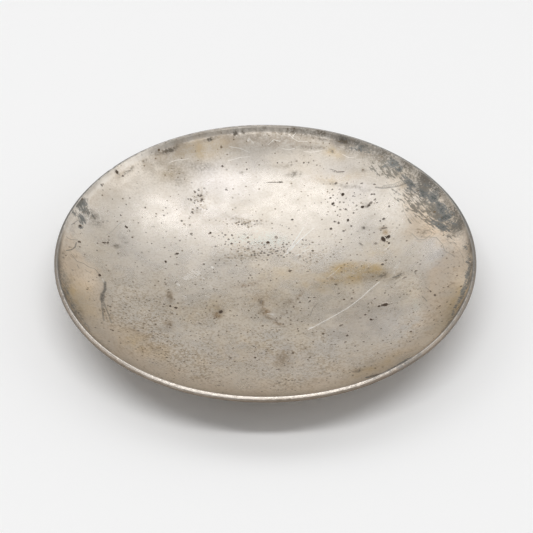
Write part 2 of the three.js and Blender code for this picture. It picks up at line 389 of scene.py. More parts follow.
# Marks with sharp outlines. A pit is written as a blob is.
PITS = [
    (1, 35.6, 51.3, 0.7, 0.8), (0.85, 30.9, 46.5, 0.6, 0.6), (0.6, 36.6, 42.4, 0.5, 0.5),
    (0.9, 44.2, 42.4, 0.7, 0.65), (0.55, 47, 42.9, 0.55, 1.2, -40), (0.5, 48.1, 44.2, 0.8, 0.5, 30),
    (0.7, 48.6, 48.9, 0.4, 0.4), (0.7, 49.8, 48.6, 0.4, 0.4), (0.6, 50.1, 45.7, 0.4, 0.4),
    (0.6, 50.8, 43.6, 0.35, 0.35), (0.6, 56.1, 40, 0.4, 0.5), (0.85, 12.2, 38.1, 0.5, 0.5),
    (0.7, 31.4, 35.6, 0.4, 0.4), (0.8, 33.1, 34.5, 0.5, 0.5), (0.85, 37.4, 35.6, 0.5, 0.8),
    (0.85, 29.6, 31.2, 0.5, 0.6), (0.7, 35.2, 29.3, 0.45, 0.45), (0.6, 38.7, 31.9, 0.4, 0.5),
    (0.55, 44.2, 29.9, 0.5, 0.7, 20), (0.7, 53.3, 33.4, 0.5, 0.6, 30), (0.55, 53.3, 27.8, 1.4, 0.35),
    (1, 52.5, 21.1, 0.85, 1.6, 14), (1, 54.8, 22.2, 0.8, 1, -20), (0.9, 54.8, 18.1, 0.45, 0.55),
    (0.5, 48.9, 19.2, 0.7, 0.6), (0.45, 42.5, 20.1, 0.4, 1.3, 35), (0.8, 51.2, 5.3, 0.6, 0.6),
    (0.75, 10.8, 4.7, 0.8, 0.6, 20), (0.55, 18.6, 4.1, 0.6, 0.4), (0.95, 1.2, 23.6, 0.75, 0.8),
    (0.55, 4.9, 27, 0.7, 1.1, 15), (0.55, -18, 55.9, 0.6, 0.35, -30), (0.7, -20, 68.8, 0.5, 0.5),
    (0.7, -8.6, 67.8, 0.4, 0.4), (0.6, -29, 49.2, 0.55, 0.6), (0.65, -33.2, 41, 0.45, 0.45),
    (0.9, -24.7, 28.9, 0.55, 0.6), (0.6, -33.2, 27.6, 0.55, 0.6), (0.65, -37.8, 35.2, 0.5, 0.5),
    (0.85, -61.9, 26.1, 0.8, 0.5, -35), (0.85, -70.9, 13.4, 0.6, 0.35, 20),
    (0.8, -69.1, 13.9, 0.4, 0.8, -15), (0.85, -39, 14.2, 0.95, 0.5, 40), (1, -43.7, 8.4, 0.45, 0.75, 10),
    (0.6, -38.1, 22.7, 0.4, 0.4), (0.85, -80.8, 9.4, 0.7, 0.6), (0.7, -80.4, 6.4, 0.5, 0.4),
    (0.8, -81.4, 19, 0.7, 0.5, 40), (0.8, -67.9, 54.8, 0.6, 0.6), (0.7, -65.2, 54.1, 0.5, 0.4),
    (0.6, -74, 45.5, 0.4, 0.4), (0.7, -22.1, 20.6, 0.45, 0.45), (0.7, -27, 8.5, 0.5, 0.55),
    (0.7, -6.5, 1.9, 0.5, 0.5), (0.9, -70.8, -7.9, 0.55, 0.9), (0.8, -42.9, -19.5, 0.45, 0.45),
    (0.9, -40.3, -20.3, 0.5, 0.55), (0.95, -37.9, -21.1, 0.75, 0.65), (0.65, -34.8, -21.4, 0.4, 0.45),
    (1, -18.8, -22.3, 0.75, 1.1, -25), (0.8, -21.4, -26.5, 0.5, 0.4), (0.8, -21.1, -30.1, 0.35, 0.3),
    (0.7, -27.4, -30.4, 0.95, 0.4, -35), (0.7, -58, -29.8, 0.35, 0.4), (0.6, -43.4, -40, 0.4, 0.5),
    (0.95, -4.1, -52.6, 0.45, 0.5), (0.8, -3.2, -54.6, 0.3, 0.3), (0.8, -12.3, -55.8, 0.35, 0.4),
    (0.7, -13.8, -59, 0.3, 0.3), (0.5, -32.8, -55.3, 0.5, 0.6), (0.6, -34.2, -66.1, 0.45, 0.5),
    (0.5, -18.2, -76, 0.5, 0.6), (1, 50.8, -21.4, 1.15, 0.95), (0.9, 48.2, -21.9, 0.7, 0.55, 20),
    (0.6, 53.5, -21.3, 0.35, 0.3), (1, 44.3, -30.2, 0.6, 0.65), (0.8, 42.1, -26.4, 0.5, 0.45),
    (0.7, 31.6, -32.3, 0.9, 0.55, 40), (0.7, 28.6, -36.1, 0.4, 0.4), (0.85, 34, -39.6, 0.55, 0.6),
    (0.6, 33, -44, 0.4, 0.9, -20), (0.7, 40.4, -45.1, 0.4, 0.5), (0.7, 36.8, -47.5, 0.4, 0.5),
    (0.4, 23.8, -39.4, 0.7, 0.35), (0.75, 37, -14.7, 0.4, 0.45), (0.7, 46.7, -16.4, 0.4, 0.35),
    (0.85, 18.6, -12.9, 0.4, 0.35), (0.75, 21.1, -12.8, 0.6, 0.35), (0.7, 19, -15.4, 0.8, 0.35, 60),
    (0.7, 14.8, -15.8, 0.4, 0.5), (0.75, 12.1, -18.7, 0.4, 0.4), (0.6, 11, -21.9, 0.35, 0.3),
    (0.7, 13.6, -33.1, 0.35, 0.45), (0.6, 15.8, -36, 0.35, 0.45), (0.6, 2.2, -44.2, 0.35, 0.35),
    (0.6, 9.3, -46.8, 0.35, 0.3), (0.6, 55.3, -36, 0.35, 0.35), (0.5, 53.2, -40.7, 0.3, 0.3),
    (0.5, 50.6, -48, 0.3, 0.3), (0.7, 69.8, -18.5, 0.35, 0.7, 15), (0.8, 71.3, -21.8, 0.45, 0.85, 15),
    (0.6, 77, -18.8, 0.3, 0.45), (0.6, 81.1, -13.2, 0.35, 0.5), (0.6, 72.4, -30.4, 0.35, 0.6, -20),
    (0.7, 64.6, -37.4, 0.35, 0.3), (0.5, 60.2, -5.4, 0.8, 0.5, 10), (0.7, 65, -2.7, 0.75, 0.5, 30),
    (0.6, 67.1, 1.1, 0.45, 0.4), (0.5, 59.2, -6.1, 0.4, 0.4), (0.8, 48.2, -4.7, 0.4, 0.35),
    (0.6, 45.3, -5.3, 0.3, 0.3), (0.75, 5.4, -61.3, 0.45, 0.5), (0.4, 13, -66.1, 0.6, 0.45),
    (0.6, 3, -33.3, 0.6, 0.25), (0.6, 5.9, -33.7, 0.5, 0.35), (0.5, 45.1, 4, 0.4, 0.5),
    (0.75, 7.1, 60.8, 1.1, 0.35), (0.5, 3.4, 60.8, 2.6, 0.2), (0.55, 34.8, 63.8, 2, 0.25, -3),
    (0.35, 31.2, 65.5, 1.6, 0.2, -25), (0.6, 30.9, 54.8, 0.35, 0.35), (0.5, 31.2, 51.4, 0.35, 0.3),
    (0.5, 34.1, 47, 0.35, 0.4), (0.6, 32.6, 58, 0.6, 0.5, 40), (0.55, 37.7, 57.2, 0.4, 0.35),
    (0.6, 44.5, 55.8, 0.6, 0.35, 10), (0.6, 50.1, 53.9, 0.6, 0.3, -20), (0.4, 71.1, -31.5, 0.25, 0.6),
    (0.5, 21, 17.8, 0.45, 0.4),
]
PIT_MARGIN = 0.03  # the listed half widths are those of the dark cores
PIT_SPACING = 2.1  # marks any closer would run together
# Patches of scattered pits: tries, middle, two half widths of the patch, and the pits' size.
PIT_PATCHES = [
    (24, -4, 21.5, 17, 3.4, 0.22), (20, 12, 24, 8, 5, 0.2), (24, -8, 36.6, 6, 2, 0.24),
    (30, 42, 46, 7, 6, 0.16), (20, 30, 52, 4, 5, 0.16), (26, -14, 25, 11, 6, 0.26),
    (16, 33, 45, 8, 8, 0.17), (16, 36, 25, 9, 5, 0.22), (50, -4, -46, 40, 16, 0.24),
    (40, -35, -42, 24, 14, 0.26), (12, 45, -10, 16, 10, 0.24), (30, -10, 5, 24, 8, 0.24),
    (14, 14, 71, 9, 1.2, 0.28), (20, -50, 30, 18, 14, 0.24), (12, 4, -58, 10, 6, 0.3),
]
# Dark lines: half width, strength, then the points they run through.
DARK_LINES = [
    (0.62, 0.75, (-68.3, -11.6), (-67.9, -16.5), (-68.5, -19.6)),
    (0.95, 0.85, (-68.6, -20), (-68.4, -24.2)), (0.4, 0.6, (-68.5, -25), (-67.6, -31), (-66.4, -38.2)),
    (0.34, 0.5, (-67.9, -24.6), (-66.6, -28.5), (-65.2, -32.5), (-63.3, -38.6)),
    (0.42, 0.6, (50.6, 52.2), (53.4, 51), (57, 50.4), (61, 50), (65.5, 50.6)),
    (0.3, 0.4, (54, 52.2), (58, 51.6), (62.6, 52.4)),
    (0.3, 0.75, (-82, 8.3), (-82.3, 5.1), (-83.6, 2.8), (-85.6, 1.2)),
    (0.2, 0.5, (-81.4, 10.2), (-84.4, 8.8), (-86.4, 9.4)),
    (0.12, 0.4, (-70.4, 17.9), (-68.2, 20.7), (-64.5, 28.3)),
    (0.2, 0.45, (-85, 17.5), (-83.6, 20), (-82.4, 22)),
    (0.22, 0.5, (68.1, -15), (69, -16.7), (70, -18.8)),
    (0.25, 0.55, (66.2, -20.6), (67, -22.2), (67.8, -24.6)),
    (0.2, 0.45, (22.2, -16.9), (20.3, -20), (19, -24.7)),
    (0.3, 0.3, (0, -24.4), (4.4, -27.5), (6.2, -31.2)),
    (0.36, 0.95, (55.2, -4.2), (56.6, -3.9), (58.3, -3.2)),
    (0.28, 0.5, (34.8, -67.4), (36.9, -68.8), (37.9, -65.4)),
    (0.16, 0.35, (61.8, 40), (62.4, 35), (63.6, 31)),
    (0.34, 0.8, (63.9, 30.2), (64.3, 28.8), (64.9, 27.5)),
    (0.16, 0.3, (65, 33), (66.6, 28.5), (69, 25.6)), (0.16, 0.3, (67.5, 34), (70, 29.6), (72.4, 27)),
    (0.2, 0.4, (63.8, 31), (64.4, 27.9), (65.2, 27)),
    (0.22, 0.4, (65, 21), (67.4, 16.5), (69.6, 15.6), (71.9, 16.4), (75, 14.8)),
    (0.16, 0.4, (69.4, 19.2), (70.2, 20.4), (71.9, 20.6), (73.3, 19.2), (73, 17.3), (71.2, 16.5),
     (69.6, 17.4)),
    (0.2, 0.4, (75, 14.8), (77.2, 9.5), (77.7, 5.2), (80.6, 1), (81.5, -1)),
    (0.14, 0.3, (83.5, 3), (84.6, -2), (84.6, -7)),
    (0.24, 0.5, (-83.4, 0), (-80.6, -3.4), (-78, -3.2), (-75.6, -4.6), (-73, -4.6), (-71, -7.4)),
    (0.24, 0.5, (-80.4, -5.4), (-79.4, -7.4)), (0.2, 0.4, (-77, -7), (-74.6, -8.2)),
    (0.2, 0.35, (-67.6, 52.5), (-65.5, 53.6), (-62, 58)),
]
# Pale scratches, in the same way.
PALE_LINES = [
    (0.18, 0.5, (-85, 28.2), (-81, 25.6), (-76.6, 23.4)),
    (0.16, 0.45, (-79.4, 33), (-77.6, 28), (-78.4, 21.6)), (0.16, 0.4, (-74.4, 31), (-73, 26)),
    (0.2, 0.8, (17.8, -34.2), (22.5, -30.6), (27.5, -26.9), (35, -21), (41, -15), (45.5, -9.6),
     (49.4, -5.7)),
    (0.26, 0.6, (8.1, 14.5), (12.6, 23), (17.4, 33)),
    (0.26, 0.65, (9.4, 15.8), (15.4, 24.6), (21.8, 32.2)),
    (0.18, 0.5, (14, 14.6), (16.2, 16.4), (21.4, 20.4)), (0.2, 0.45, (27, -0.5), (30.5, 3), (32.6, 5.8)),
    (0.24, 0.5, (52.3, 13.8), (53.6, 14.8), (55.2, 17)), (0.2, 0.4, (56, 1.6), (58.2, 3.6), (59, 6)),
    (0.7, 0.35, (-31.8, 3.4), (-29.6, 1.2)), (0.5, 0.35, (-33.6, 1.4), (-31.6, -0.8)),
    (0.5, 0.5, (-38.2, -5.4), (-37, -6.4)), (0.4, 0.4, (-36, -1), (-34.4, -2.6)),
    (0.45, 0.35, (-30, 4.6), (-28.2, 2.4)), (0.5, 0.6, (-23.5, 6.8), (-23, 6.2)),
    (0.35, 0.4, (-27.6, -0.2), (-26.4, -1.6)), (0.35, 0.35, (-34.6, -0.2), (-33, -2)),
    (0.35, 0.3, (-24, -5.6), (-22.6, -6.8)), (0.3, 0.4, (-35, -12.8), (-34, -13.6)),
    (0.3, 0.35, (-25.6, -12), (-24, -13)), (0.5, 0.3, (-29, -23.6), (-27.6, -24.6)),
    (0.2, 0.5, (-44.4, 66.8), (-41.5, 68.6), (-35.8, 70.4)),
    (0.16, 0.5, (-17.5, 71.6), (-13, 73.4), (-7.4, 74.4)),
    (0.22, 0.45, (-16.8, 78.9), (-12, 78.4), (-7.2, 76.4)), (0.18, 0.4, (-19.2, 75.4), (-15.4, 75.8)),
    (0.2, 0.5, (1.5, 80.6), (4, 83), (7, 82)), (0.22, 0.5, (8, 78.4), (11, 77.6), (13.6, 78.2)),
    (0.2, 0.5, (11, 85.2), (12.6, 84), (14.4, 85.6)), (0.2, 0.45, (12.5, 83.6), (15.5, 81.6), (20, 81.2)),
    (0.18, 0.4, (18, 76.4), (22, 75.6), (26.4, 76)), (0.18, 0.4, (36, 72.6), (39, 70.4), (42, 70.2)),
    (0.24, 0.5, (0.8, -23), (3.6, -24)), (0.16, 0.4, (1.6, -23), (4.4, -23.2)),
    (0.3, 0.3, (-8, 83.6), (-5.6, 81.4)), (0.3, 0.6, (-8.4, 82.4), (-8, 82.2)),
    (0.3, 0.35, (18.4, -32.6), (19.4, -32.2)), (0.16, 0.3, (-4, 66), (-2.6, 63.6), (-4.4, 62.6)),
    (0.24, 0.4, (55.8, -1.8), (56.6, 0.6), (58, 2.2)), (0.2, 0.3, (51.6, -8.6), (53, -9.2)),
    (0.3, 0.4, (-69.6, -9.9), (-68.7, -11.6)), (0.12, 0.25, (39, 61), (45, 60), (52, 56)),
    (0.16, 0.3, (-75, 12), (-71, 9), (-66, 7)),
]


def tone_and_light(x, y):
    """How light the metal is, around 0.5: its own uneven tone, with painted highlights and painted shade.
    """
    radius = np.hypot(x, y)
    total = 0.5 + 0.05 * cloud(x, y, 13, 45)
    for strength, *row in TONES_AND_PAINTED_LIGHT:
        total = total + 0.5 * strength * blob(x, y, *row)
    front = smooth(y, -15, -50)
    # Painted shade: the front wall near the rim is darkened, and the front half is made a little lighter.
    total = total - (0.2 * smooth(radius, 70, 86) + 0.16 * smooth(radius, 82, 87)) * front + 0.07 * front
    return total


def tan_film(x, y, wx, wy):
    """The film round the clean pool, whose edge is ragged behind and gradual in front."""
    radius, front = np.hypot(x, y), smooth(y, *FRONT)
    sharp, gradual = inside(wx, wy, CLEAN_POOL, 7), inside(wx, wy, CLEAN_POOL, 36)
    film = (1 - sharp) * (1 - front) + (1 - gradual) * front
    film = film * (0.68 - 0.1 * front + 0.24 * cloud(x, y, 11, 31)) * (1 - 0.75 * smooth(y, 22, 60))
    film = film * (1 - 0.5 * smooth(radius, 78, 88) * smooth(y, -10, -40))
    film = film * (1 - 0.7 * smooth(x, -60, -70) * smooth(y, 4, 16)) * (1 - 0.5 * blob(x, y, 80, 9, 5, 8))
    film = np.maximum(film, 0.2 * smooth(radius, 76, 88) * (1 - 0.4 * smooth(y, 40, 70)))
    return np.maximum(film, blobs(wx, wy, FILM_PATCHES))


def warmth(x, y):
    """How warm the bare metal's colour is; the front half is the warmer one."""
    warm = 0.55 * smooth(y, 22, -12) + 0.3 * cloud(x, y, 18, 49)
    warm = warm - blobs(x, y, UNWARMED)
    warm = warm + 0.4 * blob(x, y, -78, -34, 9, 18, 20) + 0.6 * blob(x, y, 66, -57, 22, 8, 48)
    return warm + 0.3 * smooth(np.hypot(x, y), 76, 86) * smooth(y, *FRONT)


def freckling(x, y):
    """How densely the little brown flecks lie."""
    near = smooth(y, 25, -35)
    fleck = 0.16 + 0.36 * near * (1 + 0.8 * cloud(x, y, 12, 41))
    fleck = fleck + blobs(x, y, FLECK_PATCHES)
    fleck = fleck * (1 - 0.6 * smooth(np.hypot(x, y), 74, 84) * near)
    return fleck * (1 - 0.6 * blob(x, y, 46, -34, 20, 18))


def painted(x, y):
    """The broad layers of patina, and of painted highlight and shade, at points of the plan, each from 0
    to 1.
    """
    radius = np.hypot(x, y)
    wx = x + 1.3 * cloud(x, y, 9, 11)
    wy = y + 1.3 * cloud(x, y, 9, 12)
    ragged = cloud(x * 1.5, y, 2.6, 21, 3)
    haze = np.maximum(ribbons(wx, wy, [HAZE_BAND, SIDE_SHADE]), blobs(wx, wy, [LEFT_HAZE]))
    smudge = blobs(wx, wy, SMUDGES) * (1 + 0.45 * ragged)
    layers = {
        "film": tan_film(x, y, wx, wy),
        "blue": np.maximum(ribbons(wx, wy, BLUE_BANDS), blobs(wx, wy, BLUE_CORES)),
        "haze": haze * (1.05 + 0.5 * cloud(x, y, 7, 43)),
        "streaks": ribbons(wx, wy, STREAK_BANDS),
        "stain": blobs(wx, wy, STAINS) * (1 + 0.35 * ragged),
        "brown": blobs(wx, wy, BROWN_SMEARS) * (1 + 0.5 * ragged),
        "smudge": np.maximum(smudge, blobs(wx, wy, RIM_MOTTLES) * (0.9 + 1.1 * ragged)),
        "fleck": freckling(x, y),
        "specks": blobs(x, y, SPECK_CLUSTERS),
        "dull": smooth(radius, 66, 83) * smooth(y, 25, 60) * (0.9 + 0.3 * cloud(x, y, 8, 37)),
        "root": smooth(radius, 87.2, 88) * (0.7 - 0.55 * smooth(y, 0, 30) + 0.35 * cloud(x, y, 6, 47)),
        "lip": smooth(radius, 85.9, 87.4) * smooth(y, -30, 20),
        "warm": warmth(x, y),
        "cool_and_highlight": blobs(x, y, COOL_TINT_AND_HIGHLIGHT_PARTS),
        "broad": 0.5 + 0.3 * cloud(x, y, 15, 33),
        "mottle": 0.5 + 0.3 * cloud(x, y, 4.5, 35),
        "tone_and_light": tone_and_light(x, y),
    }
    return {name: np.clip(values, 0, 1) for name, values in layers.items()}


def scattered_pits():
    """Small pits strewn at random inside a few patches."""
    random = np.random.default_rng(7)
    rows, places = [], [pit[1:3] for pit in PITS]
    for count, cx, cy, rx, ry, size in PIT_PATCHES:
        for _ in range(count):
            a, d = random.random() * 2 * math.pi, math.sqrt(random.random())
            s = size * (0.8 + 0.8 * random.random())
            strength = 0.45 + 0.5 * random.random()
            spot = (cx + rx * d * math.cos(a), cy + ry * d * math.sin(a))
            row = (strength, *spot, s, s * (0.8 + 0.5 * random.random()), 90 * random.random())
            if min(math.dist(spot, place) for place in places) > PIT_SPACING:
                rows.append(row)
                places.append(spot)
    return rows


def all_pits():
    """The listed pits, a little wider and stronger than their dark cores, and the scattered ones."""
    listed = [(min(1, power + 0.1), cx, cy, rx + PIT_MARGIN, ry + PIT_MARGIN, *turn)
              for power, cx, cy, rx, ry, *turn in PITS]
    return listed + scattered_pits()


def mark_field(x, y, dots, lines, reach=1.0):
    """For each point, its place in the frame of the nearest mark, where the mark's outline has
    radius 1, and the mark's strength, which is 0 away from every mark."""
    u, v = np.full(x.shape, 9.0), np.full(x.shape, 9.0)
    strength, nearest = np.zeros(x.shape), np.full(x.shape, 9.0)

    def keep(near, mu, mv, size, power):
        distance = (np.hypot(mu, mv) - 1) * size
        closer = distance < nearest[near]
        near = near[closer]
        nearest[near], strength[near] = distance[closer], power
        u[near], v[near] = mu[closer], mv[closer]

    for power, cx, cy, rx, ry, *turn in dots:
        near = np.nonzero((abs(x - cx) < 4) & (abs(y - cy) < 4))[0]
        a = math.radians(sum(turn))
        px, py = x[near] - cx, y[near] - cy
        across = px * math.cos(a) + py * math.sin(a)
        keep(near, across / rx, (py * math.cos(a) - px * math.sin(a)) / ry, min(rx, ry), power)
    for width, power, *points in lines:
        for a, b in zip(points, points[1:]):
            dx, dy = b[0] - a[0], b[1] - a[1]
            length = math.hypot(dx, dy)
            near = np.nonzero(abs(x - (a[0] + b[0]) / 2) + abs(y - (a[1] + b[1]) / 2) < length + 5)[0]
            px, py = x[near] - a[0], y[near] - a[1]
            run = (px * dx + py * dy) / length
            past = np.where(run < 0, run, np.maximum(run - length, 0))
            keep(near, (py * dx - px * dy) / length / width, past / width, width, power)
    strength[nearest > reach] = 0
    return np.stack([u, v, strength], axis=1)


def sheet_lift(x, y):
    """The sheet's gentle unevenness, in millimetres."""
    lift = 0.05 * cloud(x, y, 27, 51, 2) + 0.008 * cloud(x, y, 7, 61, 2)
    for height, *row in LUMPS:
        lift = lift + height * blob(x, y, *row)
    return lift * smooth(np.hypot(x, y), 86, 76)


def wear_edge(verts):
    """Give the edge its slight unevenness and its nicks, always inwards and down."""
    x, y = verts[:, 0].copy(), verts[:, 1].copy()
    radius = np.maximum(np.hypot(x, y), 1)
    around_x, around_y = x * RIM_RADIUS / radius, y * RIM_RADIUS / radius
    share = smooth(radius, 78, 88)
    sag = 0.07 * (1 + np.clip(cloud(around_x, around_y, 34, 71, 3), -1, 1))
    pull = 0.06 * (1 + np.clip(cloud(around_x, around_y, 46, 81, 2), -1, 1))
    for cx, cy, width, depth in NICKS:
        dent = depth * blob(around_x, around_y, cx, cy, width, width)
        sag, pull = sag + dent, pull + 0.5 * dent
    verts[:, 2] -= sag * share
    verts[:, :2] *= (1 - pull * share / radius)[:, None]


# Turned meshes, in millimetres.

def strip(a, count_a, b, count_b):
    """Faces between ring a and ring b, which start at those vertices."""
    if count_a == 1:
        return [(a, b + i, b + (i + 1) % count_b) for i in range(count_b)]
    if count_b == 1:
        return [(a + i, b, a + (i + 1) % count_a) for i in range(count_a)]
    if count_a == count_b:
        return [(a + i, b + i, b + (i + 1) % count_b, a + (i + 1) % count_a) for i in range(count_a)]
    if count_b == 2 * count_a:
        faces = []
        for i in range(count_a):
            j, k, n = b + 2 * i, b + 2 * i + 1, b + (2 * i + 2) % count_b
            faces += [(a + i, j, k), (a + i, k, a + (i + 1) % count_a), (a + (i + 1) % count_a, k, n)]
        return faces
    return [face[::-1] for face in strip(b, count_b, a, count_a)]


def ring_mesh(rings, closed=False):
    """Points and faces of a turned mesh from (radius, level, count) rings in order. Neighbours have
    the same count, or one has twice the other's, and a count of 1 is a point on the axis."""
    verts, starts = [], []
    total = 0
    for radius, level, count in rings:
        starts.append(total)
        total += count
        a = 2 * math.pi * np.arange(count) / count
        verts.append(np.stack([radius * np.cos(a), radius * np.sin(a), np.full(count, level)], axis=1))
    pairs = list(zip(range(len(rings) - 1), range(1, len(rings))))
    if closed:
        pairs.append((len(rings) - 1, 0))
    faces = []
    for p, q in pairs:
        faces += strip(starts[p], rings[p][2], starts[q], rings[q][2])
    return np.concatenate(verts), faces


def place(name, data):
    """A new object in the scene."""
    piece = bpy.data.objects.new(name, data)
    bpy.context.scene.collection.objects.link(piece)
    return piece


def build(name, verts, faces, layers):
    """The Blender object, with its painted layers as attributes of its points."""
    mesh = bpy.data.meshes.new(name)
    mesh.from_pydata((verts * MM).tolist(), [], faces)
    mesh.update()
    mesh.shade_smooth()
    for layer, values in layers.items():
        kind, field = ("FLOAT", "value") if values.ndim == 1 else ("FLOAT_VECTOR", "vector")
        mesh.attributes.new(layer, kind, "POINT").data.foreach_set(field, values.ravel())
    return place(name, mesh)


def sheet_level(radius):
    """Level of the inside of the plain sheet, as the CAD has it."""
    return FLOOR_LEVEL + RISE * (radius / MOUTH_RADIUS) ** WALL_CURVE


def inner_level(radius):
    """Level of the dish's inner surface at a radius, which flares up to the rim's lip."""
    flare = max(0, (radius - FLARE_START) / (LIP_RADIUS - FLARE_START))
    return sheet_level(radius) + (LIP_LEVEL - sheet_level(LIP_RADIUS)) * flare ** 2


def outer_level(radius):
    """Level of the dish's outer surface; the wall thins towards its edge."""
    slope = WALL_CURVE * RISE * (radius / MOUTH_RADIUS) ** (WALL_CURVE - 1) / MOUTH_RADIUS
    wall = WALL * (1 - 0.72 * smooth(radius, 58, EDGE_RADIUS))
    return sheet_level(radius) - wall * math.hypot(1, slope)


def inner_rings():
    """Rings from the middle of the inside to the lip, and down behind the rim."""
    rings = [(0, FLOOR_LEVEL, 1)]
    for r in np.arange(RING_STEP, LIP_RADIUS - 0.2 * RING_STEP, RING_STEP):
        count = 96 if r < 11 else 192 if r < 22 else 384 if r < 44 else 768
        rings.append((r, inner_level(r), count))
    return rings + [(LIP_RADIUS, LIP_LEVEL, 768), (LIP_RADIUS + 0.15, SEAT_LEVEL, 768)]


def under_rings():
    """Rings from the top of the edge to the middle of the underside."""
    rings = [(EDGE_RADIUS, SEAT_LEVEL, 768), (EDGE_RADIUS - 0.1, SEAT_LEVEL - 0.3, 768),
             (EDGE_RADIUS - 0.45, outer_level(EDGE_RADIUS - 0.45), 768)]
    flat = FOOT_RADIUS + SEAT_MARGIN
    for r in np.linspace(EDGE_RADIUS - 1.3, flat + FLAT_BLEND, 26):
        rings.append((r, outer_level(r), 384 if r > 60 else 192))
    rings += [(flat + 1.5, FOOT_HEIGHT + 0.35, 192), (flat, FOOT_HEIGHT, 192)]
    for r in np.linspace(flat - 3, 4, 10):
        rings.append((r, FOOT_HEIGHT, 192 if r > 20 else 96))
    return rings + [(0, FOOT_HEIGHT, 1)]


def dish():
    """The dish's body: its inside carries the painted patina with painted highlights and shade, and its
    pits and scratches.
    """
    inner = inner_rings()
    verts, faces = ring_mesh(inner + under_rings())
    top = sum(ring[2] for ring in inner)
    x, y = verts[:, 0].copy(), verts[:, 1].copy()
    lift = sheet_lift(x, y)
    lift[top:] *= smooth(np.hypot(x[top:], y[top:]), FOOT_RADIUS + 4, FOOT_RADIUS + 12)
    verts[:, 2] += lift
    wear_edge(verts)
    side = np.zeros(len(verts))
    side[:top] = 1
    layers = painted(x, y)
    for key, values in layers.items():
        if key not in BOTH_SIDES:
            values *= side
    layers["fleck"] += 0.45 * (1 - side)
    layers["side"] = side
    fields = {
        "pits": mark_field(x, y, all_pits(), [], 0.42),
        "dark_lines": mark_field(x, y, [], DARK_LINES),
        "pale_lines": mark_field(x, y, [], PALE_LINES),
    }
    for field in fields.values():
        field[:, 2] *= side
    return build("dish_body", verts, faces, layers | fields)


def rim():
    """The rim wire: a flat seat, a rounded outside with a gentle top and a tight lip inside."""
    section = [(RIM_RADIUS - inset, SEAT_LEVEL + share * WIRE_HEIGHT, RIM_COUNT)
               for inset, share in WIRE_OUTSIDE + WIRE_INSIDE]
    verts, faces = ring_mesh(section, closed=True)
    climb = [share for inset, share in WIRE_OUTSIDE] + [2 - share for inset, share in WIRE_INSIDE]
    x, y = verts[:, 0].copy(), verts[:, 1].copy()
    wear_edge(verts)
    bands = [[(1.02 * px, 1.02 * py, width + 1.5, strength) for px, py, width, strength in band]
             for band in BLUE_BANDS + [HAZE_BAND]]
    return build("rim_bead", verts, faces, {
        "climb": np.repeat(climb, RIM_COUNT),
        "blue": np.clip(1.5 * ribbons(x, y, bands), 0, 1),
        # The back half of the rim, whose colour is painted shade on top and painted light on the inner
        # face.
        "back": smooth(y, -30, 30),
        "wear_and_highlight": blobs(x, y, RIM_WEAR_AND_HIGHLIGHT),
    })


def foot():
    """The foot ring, with its lower edges eased."""
    inner = FOOT_RADIUS - FOOT_WIDTH
    bevel = 0.25
    section = [
        (inner + FOOT_DRAFT + bevel, 0), (FOOT_RADIUS - FOOT_DRAFT - bevel, 0),
        (FOOT_RADIUS - FOOT_DRAFT + 0.07, bevel), (FOOT_RADIUS, FOOT_HEIGHT),
        (inner, FOOT_HEIGHT), (inner + FOOT_DRAFT - 0.07, bevel),
    ]
    return build("foot_collar", *ring_mesh([(r, z, 384) for r, z in section], closed=True), {})


